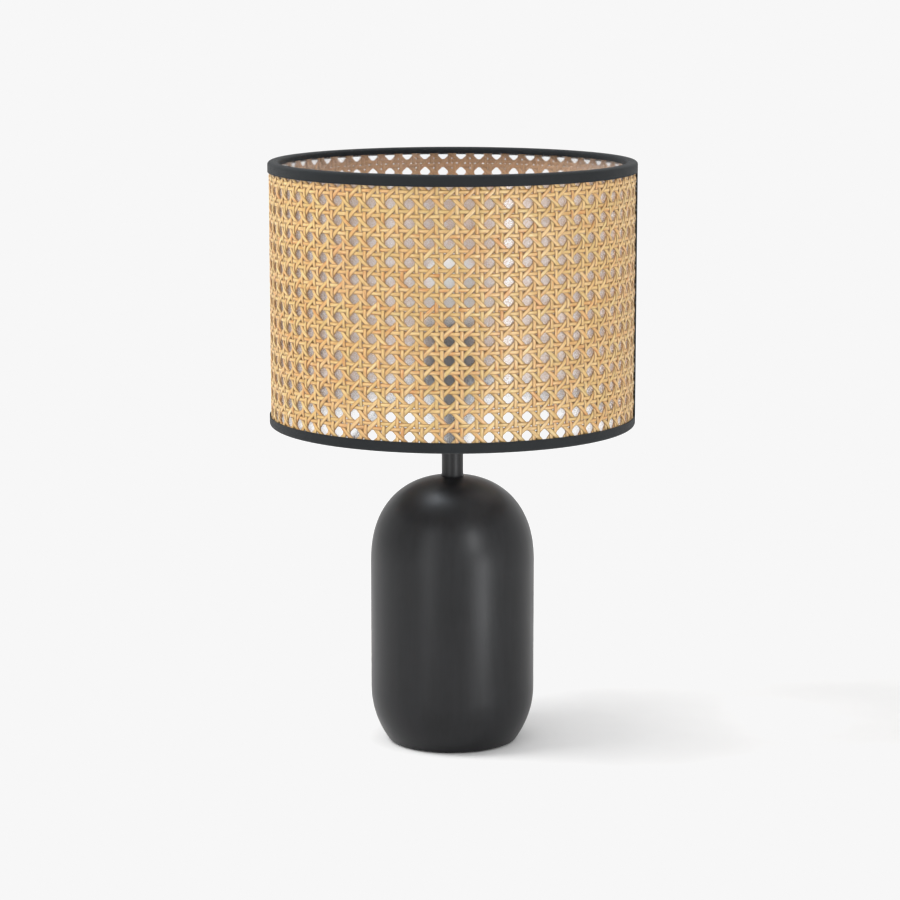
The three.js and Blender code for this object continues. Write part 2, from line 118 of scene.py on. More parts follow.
class Finish:  # a material and its nodes
    def __init__(self, name):
        self.material = bpy.data.materials.new(name)
        self.material.use_nodes = True
        self.tree = self.material.node_tree
        self.tree.nodes.clear()

    def node(self, kind, settings=None, sockets=None, output=0):
        made = self.tree.nodes.new(kind)
        for key, value in (settings or {}).items():
            if key == "stops":
                ramp = made.color_ramp
                while len(ramp.elements) < len(value):
                    ramp.elements.new(0.5)
                for element, (place, shade) in zip(ramp.elements, value):
                    element.position = place
                    element.color = (*shade, 1)
            else:
                setattr(made, key, value)
        for key, value in (sockets or {}).items():
            if isinstance(value, Value):
                self.tree.links.new(value.socket, made.inputs[key])
            elif isinstance(value, tuple) and len(value) == 3 and made.inputs[key].type == "RGBA":
                made.inputs[key].default_value = (*value, 1)
            else:
                made.inputs[key].default_value = value
        return Value(self, made.outputs[output]) if len(made.outputs) else None

    def place(self):  # where a point is on the object, in metres
        return self.node("ShaderNodeTexCoord", output="Object")

    def stored(self, name, output="Fac"):
        return self.node("ShaderNodeAttribute", {"attribute_name": name}, output=output)

    def parts(self, vector):
        split = self.node("ShaderNodeSeparateXYZ", sockets={0: vector})
        return [Value(self, socket) for socket in split.socket.node.outputs]

    def vector(self, x, y, z):
        return self.node("ShaderNodeCombineXYZ", sockets={0: x, 1: y, 2: z})

    def stretched(self, vector, factors):
        return self.node("ShaderNodeVectorMath", {"operation": "MULTIPLY"}, {0: vector, 1: factors})

    def noise(self, vector, scale, detail=2.0, rough=0.5):
        sockets = {"Vector": vector, "Scale": scale, "Detail": detail, "Roughness": rough}
        return self.node("ShaderNodeTexNoise", sockets=sockets)

    def ramp(self, value, stops):
        return self.node("ShaderNodeValToRGB", {"stops": stops}, {0: value})

    def fitted(self, value, low, high, newLow=0.0, newHigh=1.0):
        return self.node("ShaderNodeMapRange", sockets={0: value, 1: low, 2: high, 3: newLow, 4: newHigh})

    def mixed(self, factor, first, second, how="MIX"):
        settings = {"data_type": "RGBA", "blend_type": how}
        return self.node("ShaderNodeMix", settings, {0: factor, 6: first, 7: second}, output=2)

    def bump(self, height, distance, strength=1.0):
        sockets = {"Height": height, "Distance": distance, "Strength": strength}
        return self.node("ShaderNodeBump", sockets=sockets)

    def shader(self, **sockets):
        named = {key.replace("_", " "): value for key, value in sockets.items()}
        return self.node("ShaderNodeBsdfPrincipled", sockets=named)

    def done(self, shader):
        self.node("ShaderNodeOutputMaterial", sockets={"Surface": shader})
        return self.material


# edge is a painted shade along the sides of each strand
caneLook = {"gold": [(0.0, (0.68, 0.44, 0.17)), (0.3, (0.59, 0.37, 0.125)), (0.55, (0.57, 0.39, 0.14)),
                     (0.75, (0.59, 0.33, 0.105)), (1.0, (0.68, 0.46, 0.205))],
            "rust": (0.56, 0.225, 0.055), "blush": (0.62, 0.32, 0.14), "straw": (0.70, 0.55, 0.25),
            "groove": (0.30, 0.155, 0.045), "shine": (0.86, 0.70, 0.41), "edge": (0.11, 0.05, 0.012),
            "pithDark": (0.62, 0.345, 0.155), "pithLight": (0.78, 0.46, 0.22)}


def caneFinish():
    f = Finish("golden_cane")
    along, across, strand = f.parts(f.stored("fibre", "Vector"))
    pith = f.stored("pith")
    fine = f.noise(f.vector(along * 0.11, across * 2.2, strand * 91), 1.5, 4, 0.7)
    streak = f.fitted(fine, 0.32, 0.68)
    patch = f.noise(f.vector(along * 0.05, across * 0.3, strand * 57), 1.0, 3, 0.6)
    blush = f.noise(f.place(), 21, 2, 0.5)
    skin = f.ramp(strand, caneLook["gold"])
    skin = f.mixed(f.fitted(patch, 0.53, 0.68, 0, 0.8), skin, caneLook["rust"])
    skin = f.mixed(f.fitted(blush, 0.54, 0.68, 0, 0.5), skin, caneLook["blush"])
    skin = f.mixed(f.fitted(patch, 0.30, 0.45, 0.55, 0), skin, caneLook["straw"])
    skin = f.mixed(f.fitted(streak, 0.0, 0.5, 0.75, 0), skin, caneLook["groove"])
    skin = f.mixed(f.fitted(streak, 0.62, 1.0, 0, 0.6), skin, caneLook["shine"])
    # painted shade: each strand darkens towards its sides with the edge colour
    skin = f.mixed(abs(across) ** 3.0 * 0.88, skin, caneLook["edge"])
    inside = f.mixed(streak * 0.6, caneLook["pithDark"], caneLook["pithLight"])
    colour = f.mixed(pith, skin, inside)
    rough = 0.5 - f.fitted(fine, 0.3, 0.7, 0, 0.14) + pith * 0.3
    relief = f.bump(fine, 0.00016, 0.7)
    return f.done(f.shader(Base_Color=colour, Roughness=rough, Normal=relief, Coat_Weight=0.12,
                           Coat_Roughness=0.3))


# clear is the share that passes straight, spread how far the rest is blurred
filmLook = {"clear": 0.34, "haze": 0.02, "sideHaze": 0.2, "spread": 0.26, "bend": 1.45, "gloss": 0.3,
            "milk": (0.92, 0.85, 0.79)}


def filmFinish():
    f = Finish("clear_film")
    wave = f.noise(f.stretched(f.place(), (1, 1, 0.35)), 60, 2, 0.5)
    relief = f.bump(wave, 0.0004, 0.25)
    tint = f.ramp(wave, [(0.3, (0.972, 0.972, 0.985)), (0.7, (0.99, 0.99, 0.995))])
    through = f.shader(Base_Color=tint, Roughness=filmLook["spread"], IOR=filmLook["bend"],
                       Transmission_Weight=1.0, Coat_Weight=filmLook["gloss"], Coat_IOR=1.45,
                       Coat_Roughness=0.16, Normal=relief)
    straight = f.node("ShaderNodeBsdfTransparent", sockets={"Color": (0.985, 0.985, 0.99)})
    haze = f.node("ShaderNodeBsdfDiffuse", sockets={"Color": filmLook["milk"]})
    seen = f.node("ShaderNodeMixShader", sockets={0: filmLook["clear"], 1: through, 2: straight})
    facing = f.node("ShaderNodeLayerWeight", sockets={"Blend": 0.5}, output=1)  # milkier edge on
    cover = facing * filmLook["sideHaze"] + filmLook["haze"]
    return f.done(f.node("ShaderNodeMixShader", sockets={0: cover, 1: seen, 2: haze}))


def lacquerFinish():
    f = Finish("black_lacquer")
    spot = f.place()
    streaks = f.noise(f.stretched(spot, (1, 1, 0.12)), 210, 4, 0.6)
    cloud = f.noise(spot, 26, 3, 0.55)
    grain = f.noise(spot, 1400, 2, 0.6)
    colour = f.ramp(cloud * 0.5 + streaks * 0.5, [(0.3, (0.0062, 0.0064, 0.0072)),
                                                  (0.7, (0.0118, 0.0121, 0.0138))])
    rough = f.fitted(streaks, 0.3, 0.7, 0.36, 0.41) + f.fitted(cloud, 0.3, 0.7, -0.02, 0.03)
    relief = f.bump(streaks * 0.6 + grain * 0.4, 0.00006, 0.55)
    return f.done(f.shader(Base_Color=colour, Roughness=rough, Normal=relief, Specular_IOR_Level=0.26))


def clothFinish():
    f = Finish("black_binding")
    along, across, turn = f.parts(f.stored("weave", "Vector"))
    warp = (along * (tau / 0.62)).sine()
    weft = (across * (tau / 0.55)).sine()
    thread = warp * weft
    fluff = f.noise(f.place(), 900, 3, 0.7)
    broad = f.noise(f.place(), 60, 2, 0.5)
    colour = f.ramp(fluff * 0.7 + broad * 0.3, [(0.3, (0.0055, 0.0068, 0.0078)),
                                                (0.7, (0.013, 0.0155, 0.0175))])
    colour = f.mixed(f.fitted(thread, -0.2, 1.0, 0, 0.3), colour, (0.019, 0.0225, 0.026))
    relief = f.bump(thread * 0.5 + fluff, 0.00012, 0.7)
    return f.done(f.shader(Base_Color=colour, Roughness=f.fitted(fluff, 0.3, 0.7, 0.78, 0.92),
                           Normal=relief, Sheen_Weight=0.07, Sheen_Roughness=0.4,
                           Specular_IOR_Level=0.25))


def feltFinish():
    f = Finish("black_felt")
    hair = f.noise(f.place(), 1900, 4, 0.8)
    clump = f.noise(f.place(), 240, 2, 0.5)
    colour = f.ramp(hair * 0.6 + clump * 0.4, [(0.3, (0.006, 0.006, 0.007)), (0.7, (0.022, 0.022, 0.025))])
    return f.done(f.shader(Base_Color=colour, Roughness=f.fitted(clump, 0.3, 0.7, 0.9, 1.0),
                           Normal=f.bump(hair, 0.0003, 0.8), Sheen_Weight=0.4))


def paintFinish(name, dark, light, roughLow, roughHigh, grainScale=1100, depth=0.00005, **more):
    f = Finish(name)
    grain = f.noise(f.place(), grainScale, 3, 0.6)
    cloud = f.noise(f.place(), 45, 3, 0.5)
    colour = f.ramp(grain * 0.5 + cloud * 0.5, [(0.3, dark), (0.7, light)])
    rough = f.fitted(cloud * 0.6 + grain * 0.4, 0.35, 0.65, roughLow, roughHigh)
    return f.done(f.shader(Base_Color=colour, Roughness=rough, Normal=f.bump(grain, depth, 0.5), **more))


def metalFinish(name, dark, light, roughLow, roughHigh, across=(1, 1, 14)):
    f = Finish(name)
    lines = f.noise(f.stretched(f.place(), across), 120, 4, 0.6)
    stain = f.noise(f.place(), 90, 3, 0.5)
    colour = f.ramp(lines * 0.4 + stain * 0.6, [(0.3, dark), (0.7, light)])
    rough = f.fitted(stain, 0.3, 0.7, roughLow, roughHigh)
    return f.done(f.shader(Base_Color=colour, Roughness=rough, Metallic=1.0,
                           Normal=f.bump(lines, 0.00003, 0.5)))


def opalFinish():
    f = Finish("opal_diffuser")
    cloud = f.noise(f.place(), 70, 3, 0.5)
    colour = f.ramp(cloud, [(0.3, (0.60, 0.59, 0.57)), (0.7, (0.67, 0.66, 0.64))])
    return f.done(f.shader(Base_Color=colour, Roughness=f.fitted(cloud, 0.3, 0.7, 0.64, 0.72),
                           Specular_IOR_Level=0.15, Subsurface_Weight=0.2, Subsurface_Scale=0.004))


finishes = {
    "cane": caneFinish(),
    "clear_film": filmFinish(),
    "black_lacquer": lacquerFinish(),
    "black_binding": clothFinish(),
    "felt": feltFinish(),
    "black_steel": paintFinish("black_powder_coat", (0.008, 0.008, 0.009), (0.016, 0.016, 0.018), 0.34, 0.44,
                               Specular_IOR_Level=0.28),
    "black_plastic": paintFinish("black_moulding", (0.009, 0.009, 0.0095), (0.016, 0.016, 0.017), 0.34, 0.46,
                                 1700, 0.00003),
    "white_plastic": paintFinish("white_moulding", (0.76, 0.76, 0.74), (0.84, 0.84, 0.82), 0.32, 0.42,
                                 1500, 0.00002),
    "ceramic": paintFinish("steatite", (0.60, 0.57, 0.50), (0.74, 0.71, 0.65), 0.5, 0.65, 800, 0.00008),
    "zinc_steel": metalFinish("zinc_plate", (0.42, 0.43, 0.45), (0.60, 0.60, 0.58), 0.28, 0.42),
    "brass": metalFinish("pressed_brass", (0.52, 0.36, 0.13), (0.70, 0.50, 0.21), 0.22, 0.36),
    "nickel": metalFinish("nickel_plate", (0.56, 0.55, 0.53), (0.68, 0.67, 0.65), 0.16, 0.28),
    "opal": opalFinish(),
}
print("finishes made:", len(finishes))


def makeObject(name, points, faces, sharp=35):
    mesh = bpy.data.meshes.new(name)
    mesh.from_pydata((np.asarray(points) * mm).tolist(), [], faces)
    mesh.validate()
    mesh.shade_smooth()
    mesh.set_sharp_from_angle(angle=math.radians(sharp))
    made = bpy.data.objects.new(name, mesh)
    bpy.context.scene.collection.objects.link(made)
    return made


def store(piece, name, values):
    kind = "FLOAT" if values.ndim == 1 else "FLOAT_VECTOR"
    layer = piece.data.attributes.new(name, kind, "POINT")
    layer.data.foreach_set("value" if kind == "FLOAT" else "vector", values.astype(np.float32).ravel())


def settle(piece, body, slot, *nodes):  # gives a piece its finish and body, and hides the CAD nodes it replaces
    piece.data.materials.clear()
    piece.data.materials.append(finishes[slot])
    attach(piece, body)
    if nodes:
        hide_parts(*nodes)
    return piece


def filleted(corners, steps=5):
    # corners are (radius, height) or (radius, height, fillet); the profile closes on itself
    out = []
    count = len(corners)
    for i, corner in enumerate(corners):
        here = np.array(corner[:2], float)
        if len(corner) < 3:
            out.append(here)
            continue
        before = np.array(corners[i - 1][:2], float) - here
        after = np.array(corners[(i + 1) % count][:2], float) - here
        reach = min(corner[2], 0.45 * np.linalg.norm(before), 0.45 * np.linalg.norm(after))
        start = here + before / np.linalg.norm(before) * reach
        end = here + after / np.linalg.norm(after) * reach
        for t in np.linspace(0, 1, steps + 1):
            out.append((1 - t) ** 2 * start + 2 * t * (1 - t) * here + t * t * end)
    return [tuple(point) for point in out]


def turned(name, profile, sides, swell=None, onAxis=False, alongY=False, sharp=35):
    # a profile of (radius, height) turned about the axis, closed on itself or ending on the axis
    line = np.array(profile, float)
    following = np.roll(line, -1, axis=0)
    if (line[:, 0] * following[:, 1] - following[:, 0] * line[:, 1]).sum() < 0:
        line = line[::-1]
    count = len(line)
    angles = np.arange(sides) * tau / sides
    radius, height = np.repeat(line[None], sides, 0).transpose(2, 0, 1)
    turn = np.repeat(angles[:, None], count, 1)
    if swell:
        radius, height = swell(radius, height, turn)
    grid = np.stack([radius * np.sin(turn), -radius * np.cos(turn), height], -1)
    if alongY:
        grid = np.stack([grid[..., 0], grid[..., 2], -grid[..., 1]], -1)
    step = np.linalg.norm(np.diff(line, axis=0, append=line[:1]), axis=1)
    walked = np.concatenate([[0], np.cumsum(step)[:-1]])
    weave = np.stack([turn * line[:, 0].max(), np.repeat(walked[None], sides, 0), turn], -1)
    points, stored = grid.reshape(-1, 3), weave.reshape(-1, 3)
    index = np.arange(sides * count).reshape(sides, count)
    faces = []
    last = count - 1 if onAxis else count
    for i in range(sides):
        this, other = index[i], index[(i + 1) % sides]
        for k in range(last):
            n = (k + 1) % count
            if onAxis and k == 0:
                faces.append((index[0][0], other[n], this[n]))
            elif onAxis and n == count - 1:
                faces.append((this[k], other[k], index[0][n]))
            else:
                faces.append((this[k], other[k], other[n], this[n]))
    made = makeObject(name, points, [tuple(int(v) for v in face) for face in faces], sharp)
    store(made, "weave", stored)
    clean = bmesh.new()
    clean.from_mesh(made.data)
    loose = [v for v in clean.verts if not v.link_faces]
    bmesh.ops.delete(clean, geom=loose, context="VERTS")
    clean.to_mesh(made.data)
    clean.free()
    return made


def cutWith(piece, *tools):
    for tool in tools:
        step = piece.modifiers.new("cut", "BOOLEAN")
        step.operation, step.solver, step.object = "DIFFERENCE", "EXACT", tool
    bpy.context.view_layer.update()
    result = bpy.data.meshes.new_from_object(piece.evaluated_get(bpy.context.evaluated_depsgraph_get()))
    piece.modifiers.clear()
    piece.data = result
    for tool in tools:
        bpy.data.objects.remove(tool)
    return piece


def swept(name, path, radii, sides=20):
    # a round bar along a path of points, with a radius at each
    path = np.array(path, float)
    tangent = np.gradient(path, axis=0)
    tangent /= np.linalg.norm(tangent, axis=1)[:, None]
    flat = np.cross(tangent, (0, 0, 1.0))
    flat /= np.linalg.norm(flat, axis=1)[:, None]
    upward = np.cross(flat, tangent)
    points = []
    for t in np.arange(sides) * tau / sides:
        points.append(path + (flat * math.cos(t) + upward * math.sin(t)) * np.array(radii)[:, None])
    points = np.array(points).transpose(1, 0, 2)
    count = len(path)
    index = np.arange(count * sides).reshape(count, sides)
    faces = [tuple(int(v) for v in index[0][::-1]), tuple(int(v) for v in index[-1])]
    for k in range(count - 1):
        for i in range(sides):
            j = (i + 1) % sides
            faces.append(tuple(int(v) for v in (index[k][i], index[k][j], index[k + 1][j], index[k + 1][i])))
    made = makeObject(name, points.reshape(-1, 3), faces)
    clean = bmesh.new()
    clean.from_mesh(made.data)
    bmesh.ops.recalc_face_normals(clean, faces=clean.faces)
    clean.to_mesh(made.data)
    clean.free()
    return made


def waves(turn, size, counts=(2, 3, 5, 9, 14), seed=0):  # a smooth random ripple round a ring
    own = np.random.default_rng(seed)
    total = sum(own.normal() / math.sqrt(n) * np.sin(n * turn + own.uniform(0, tau)) for n in counts)
    return total * size


# the base, a body turned from wood with a cavity below and an outlet at the back
base = {"foot": 44.0, "flare": 38.8, "flarePower": 2.18, "shoulder": 126.2, "domeTop": 187.1,
        "domePower": 2.3, "bore": 5.3, "cavity": 28.0, "cavityTop": 22.3, "socketDepth": 3.1,
        "gap": 0.3, "sides": 224, "cordHeight": 14.0, "pocket": 6.8, "bushFlange": 1.6}


def flareRadius(height):
    radius = sizeOf("base_body")["radius"]
    drop = max(0.0, (base["flare"] - height) / base["flare"])
    return radius - (radius - base["foot"]) * drop ** base["flarePower"]


def makeBase():
    size = sizeOf("base_body")
    felt = sizeOf("felt_pad")
    neck = sizeOf("neck_tube")
    socket = neck["radius"] + base["gap"]
    recess = (felt["radius"] + base["gap"], felt["high"] + base["gap"])
    power = 2 / base["domePower"]
    rise = base["domeTop"] - base["shoulder"]
    end = math.acos((socket / size["radius"]) ** (1 / power))
    profile = filleted([(base["bore"], base["cavityTop"]), (base["cavity"], base["cavityTop"], 0.8),
                        (base["cavity"], recess[1], 0.5), (recess[0], recess[1], 0.3),
                        (recess[0], size["low"], 0.4), (flareRadius(size["low"]), size["low"], 0.9),
                        (flareRadius(size["low"] + 2), size["low"] + 2)])
    profile += [(flareRadius(z), z) for z in np.linspace(size["low"] + 4, base["flare"], 22)]
    profile += [(size["radius"], z) for z in np.linspace(base["flare"] + 8, base["shoulder"] - 6, 8)]
    for t in np.linspace(0, end, 42):
        height = base["shoulder"] + rise * math.sin(t) ** power
        profile.append((size["radius"] * math.cos(t) ** power, height))
    floor = base["domeTop"] - base["socketDepth"]
    edge = profile.pop()
    profile += [(edge[0] + 0.35, edge[1] + 0.02), (socket, edge[1] - 0.35)]
    profile += [(socket, floor), (base["bore"], floor)]
    body = turned("baseBody", profile, base["sides"], sharp=40)
    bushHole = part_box("cord_bush")[1].x / mm - base["bushFlange"] + base["gap"]
    pocketFloor = flareRadius(base["cordHeight"] - base["pocket"])
    tools = []
    for radius, near in ((bushHole, base["cavity"] / 2), (base["pocket"], pocketFloor)):
        far = near + base["foot"] + base["cavity"]
        tool = turned("tool", [(0, near), (radius, near), (radius, far), (0, far)], 64, onAxis=True,
                      alongY=True)
        tool.data.transform(Matrix.Translation((0, 0, base["cordHeight"] * mm)))
        tools.append(tool)
    return settle(cutWith(body, *tools), "stand", "black_lacquer", "base_body")


makeBase()


def makeBush():
    low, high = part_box("cord_bush")
    near, far, flange = low.y / mm, high.y / mm, high.x / mm
    hole, barrel, lip = 3.5, 4.6, 1.5
    profile = filleted([(hole, near, 0.5), (barrel, near, 0.3), (barrel, far - lip), (flange, far - lip, 0.2),
                        (flange, far, 0.7), (hole, far, 0.8)])
    made = turned("cordBush", profile, 72, alongY=True)
    made.data.transform(Matrix.Translation((0, 0, base["cordHeight"] * mm)))
    settle(made, "stand", "black_plastic", "cord_bush")


def makeFelt():
    size = sizeOf("felt_pad")
    profile = [(0, size["low"])] + filleted(
        [(0.01, size["low"]), (size["radius"], size["low"], 0.3), (size["radius"], size["high"], 0.3),
         (0.01, size["high"])])[1:-1] + [(0, size["high"])]
    pad = settle(turned("feltPad", profile, 160, onAxis=True), "stand", "felt", "felt_pad")
    across = 2 * size["radius"] * mm
    math.pi / 4 * across ** 2 * 0.99


def makeNeck():
    size = sizeOf("neck_tube")
    profile = filleted([(base["bore"], size["low"]), (size["radius"], size["low"], 0.4),
                        (size["radius"], size["high"], 0.5), (base["bore"], size["high"])])
    settle(turned("neckTube", profile, 96), "stand", "black_steel", "neck_tube")


makeBush()
makeFelt()
makeNeck()
print("base, bush, felt and neck made")


# the lampholder: cover, barrel, retaining ring and socket shell
holder = {"waist": 15.2, "wall": 1.6, "mouth": 15.2, "lip": 1.3, "lipHeight": 1.6, "wallBarrel": 1.8,
          "threadPitch": 2.0, "threadDepth": 0.35, "ribs": 32, "ribDepth": 0.55, "screwPitch": 3.63}


def makeHolderCap():
    size = sizeOf("holder_cap")
    barrel = sizeOf("holder_barrel")["radius"]
    low, seat, out = size["low"], size["high"], size["radius"]
    waist, wall = holder["waist"], holder["wall"]
    profile = filleted([
        (base["bore"], low), (9.5, low, 0.5), (11.0, low + 1.5, 1.2), (waist - 1.6, low + 6, 3.0),
        (waist - 0.6, low + 13, 3.0), (waist, low + 18, 2.5), (barrel - 1.2, seat - 3, 1.4),
        (barrel, seat - 2, 0.5), (out, seat - 2, 0.5), (out, seat, 0.5), (holder["mouth"], seat, 0.3),
        (holder["mouth"], seat - 2.5, 1.0), (waist - wall, low + 18, 2.0),
        (waist - 0.6 - wall, low + 13, 2.0), (waist - 1.8 - wall, low + 6.5, 1.0),
        (8.0, low + 5.6, 0.6), (8.0, low + 8.0, 0.6), (base["bore"], low + 8.0, 0.3)])
    cap = turned("holderCap", profile, 112)
    hole = turned("tool", [(0, 3.0), (1.6, 3.0), (1.6, 20.0), (0, 20.0)], 40, onAxis=True, alongY=True)
    screwLow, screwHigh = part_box("cap_lock_screw")
    hole.data.transform(Matrix.Translation((0, 0, (screwLow.z + screwHigh.z) / 2)))
    settle(cutWith(cap, hole), "stand", "black_plastic", "holder_cap")


def makeHolderBarrel():
    size = sizeOf("holder_barrel")
    out, low, high = size["radius"], size["low"], size["high"]
    inner = out - holder["wallBarrel"]
    lip = inner - holder["lip"]
    outside = [(out, z) for z in np.arange(low + 1.0, high - 1.2, holder["threadPitch"] / 6)]
    profile = [(inner, low)] + [(out - 0.4, low)] + outside + [(out - 0.4, high - 0.4), (out - 0.9, high),
               (lip + 0.3, high), (lip, high - 0.3), (lip, high - holder["lipHeight"]),
               (inner, high - holder["lipHeight"])]

    def thread(radius, height, turn):
        phase = tau * height / holder["threadPitch"] - turn
        fade = np.clip((height - low - 1.5) / 1.5, 0, 1) * np.clip((high - 1.5 - height) / 1.5, 0, 1)
        ridge = holder["threadDepth"] * (0.5 - 0.5 * np.cos(phase)) * fade
        return np.where(radius > out - 0.01, radius - ridge, radius), height

    settle(turned("holderBarrel", profile, 96, thread, sharp=50), "stand", "black_plastic", "holder_barrel")


def makeRetainingRing():
    size = sizeOf("retaining_ring")
    out, low, high = size["radius"], size["low"], size["high"]
    inner = sizeOf("holder_barrel")["radius"] + base["gap"]
    profile = filleted([(inner, low, 0.3), (out - 0.6, low, 0.5), (out, low + 1.2, 0.6),
                        (out, high - 1.2, 0.6), (out - 1.4, high, 0.9), (inner, high, 0.5)])

    def ribbed(radius, height, turn):
        groove = holder["ribDepth"] * (0.5 - 0.5 * np.cos(holder["ribs"] * turn)) ** 3
        return np.where(radius > out - 0.7, radius - groove, radius), height

    settle(turned("retainingRing", profile, holder["ribs"] * 10, ribbed, sharp=50), "ring", "black_plastic",
           "retaining_ring")


def rolledThread(size, pitch, depth, wall, floor, name, body, slot, node, sides=96):
    # a rolled sheet thread, the same wave inside and out
    out, low, high = size["radius"], size["low"], size["high"]
    heights = np.arange(low + 2.4, high - 0.3, pitch / 10)
    outside = [(out, z) for z in heights]
    inside = [(out - wall, z) for z in heights[::-1]]
    profile = floor(out, low, wall) + outside + [(out, high), (out - wall, high)] + inside

    def wave(radius, height, turn):
        fade = np.clip((height - low - 2.4) / 2.5, 0, 1) * np.clip((high - 0.6 - height) / 2.5, 0, 1)
        dip = depth * (0.5 + 0.5 * np.cos(tau * height / pitch - turn)) * fade
        return np.where(radius > out - wall - 0.01, radius - dip, radius), height

    return settle(turned(name, profile, sides, wave, sharp=60), body, slot, node)


def shellFloor(out, low, wall):
    return [(out - wall, low + 0.8), (8.0, low + 0.8), (8.0, low), (out - 0.8, low), (out, low + 0.8)]


def capFloor(out, low, wall):
    return [(out - 3.4, low + 0.8), (out - 2.4, low), (out - 0.9, low + 0.9), (out, low + 1.7)]


makeHolderCap()
makeHolderBarrel()
makeRetainingRing()
rolledThread(sizeOf("socket_shell"), holder["screwPitch"], 0.0, 1.05, shellFloor, "socketShell", "stand",
             "brass", "socket_shell")
print("lampholder made")


bulb = {"collarWall": 1.2, "globeWall": 1.0}


def makeBulb():
    rolledThread(sizeOf("bulb_screw_cap"), holder["screwPitch"], 1.0, 0.8, capFloor, "bulbScrewCap", "bulb",
                 "nickel", "bulb_screw_cap")
    size = sizeOf("bulb_collar")
    low, high, out, wall = size["low"], size["high"], size["radius"], bulb["collarWall"]
    neck = sizeOf("bulb_screw_cap")["radius"] + 0.4
    profile = filleted([(neck, low, 0.3), (neck + 0.6, low + 3, 3.0), (out - 2.5, high - 5, 3.5),
                        (out, high, 0.5), (out - wall, high, 0.3), (out - 2.5 - wall, high - 5, 3.0),
                        (neck + 0.6 - wall, low + 3, 2.5), (neck - wall, low, 0.3)], 8)
    settle(turned("bulbCollar", profile, 112), "bulb", "white_plastic", "bulb_collar")
    size = sizeOf("bulb_globe")
    low, top, radius = size["low"], size["high"], size["radius"]
    middle, inner = top - radius, radius - bulb["globeWall"]
    start = -math.asin((middle - low) / radius)
    innerStart = -math.asin((middle - low) / inner)
    outer = [(radius * math.cos(t), middle + radius * math.sin(t))
             for t in np.linspace(start, math.pi / 2, 40)]
    inside = [(inner * math.cos(t), middle + inner * math.sin(t))
              for t in np.linspace(math.pi / 2, innerStart, 40)]
    outer[-1], inside[0] = (0, top), (0, middle + inner)
    settle(turned("bulbGlobe", inside + outer, 112, onAxis=True), "bulb", "opal", "bulb_globe")


makeBulb()
print("bulb made")


fitter = {"inner": 19.2, "armRadius": 1.6, "knee": 72.0, "kneeLength": 10.0, "bead": 0.7, "beadLength": 1.4,
          "firstArm": -34.6}


def makeFitterRing():
    size = sizeOf("fitter_ring")
    profile = filleted([(fitter["inner"], size["low"], 0.4), (size["radius"], size["low"], 0.5),
                        (size["radius"], size["high"], 0.5), (fitter["inner"], size["high"], 0.4)])
    settle(turned("fitterRing", profile, 128), "shade", "black_steel", "fitter_ring")


def makeArm(number):
    ring = sizeOf("fitter_ring")
    wire = sizeOf("bottom_rim_wire")
    wireRadius = (wire["high"] - wire["low"]) / 2
    start = np.array([ring["radius"] + 0.1, (ring["low"] + ring["high"]) / 2])
    knee = np.array([fitter["knee"], start[1]])
    end = np.array([wire["radius"] - wireRadius, (wire["low"] + wire["high"]) / 2])
    slope = (end - knee) / np.linalg.norm(end - knee)
    end = end - slope * (wireRadius + 0.1)
    bendStart, bendEnd = knee - (fitter["kneeLength"], 0), knee + slope * fitter["kneeLength"]
    line = [start + (bendStart - start) * t for t in np.linspace(0, 1, 14)[:-1] ** 1.6]
    for t in np.linspace(0, 1, 11):
        line.append((1 - t) ** 2 * bendStart + 2 * t * (1 - t) * knee + t * t * bendEnd)
    line += [bendEnd + (end - bendEnd) * t for t in 1 - (1 - np.linspace(0, 1, 14)[1:]) ** 1.6]
    line = np.array(line)
    walked = np.concatenate([[0], np.cumsum(np.linalg.norm(np.diff(line, axis=0), axis=1))])
    fromEnds = np.minimum(walked, walked[-1] - walked)
    radii = fitter["armRadius"] + fitter["bead"] * np.exp(-(fromEnds / fitter["beadLength"]) ** 2)
    azimuth = math.radians(fitter["firstArm"] + 120 * (number - 1))
    path = np.stack([line[:, 0] * math.sin(azimuth), -line[:, 0] * math.cos(azimuth), line[:, 1]], 1)
    settle(swept(f"spiderArm{number}", path, radii), "shade", "black_steel", f"spider_arm_{number}")


makeFitterRing()
for number in (1, 2, 3):
    makeArm(number)
print("fitter made")


# the webbing: columns are counted round the drum, rows up it, from the first hole at the front
cane = {"columns": 60, "firstColumn": -0.99, "row": 12.66, "firstRow": 234.4, "radius": 124.2,
        "width": 2.70, "slantWidth": 3.05, "thickness": 0.78, "lift": 0.56, "pairOffset": 0.127,
        "edgeInset": 2.6, "steps": 7, "wander": 0.13, "seam": 86.0, "backShift": 1.9, "backRise": 0.7}
column = tau * cane["radius"] / cane["columns"]  # pitch round the drum
section = np.array([(-0.93, -0.5), (-1.0, -0.05), (-0.84, 0.34), (0.0, 0.5), (0.84, 0.34), (1.0, -0.05),
                    (0.93, -0.5)])


def towardsBack(turn):  # 0 over the front half, 1 at the back
    return (0.5 - 0.5 * np.cos(turn)) ** 2


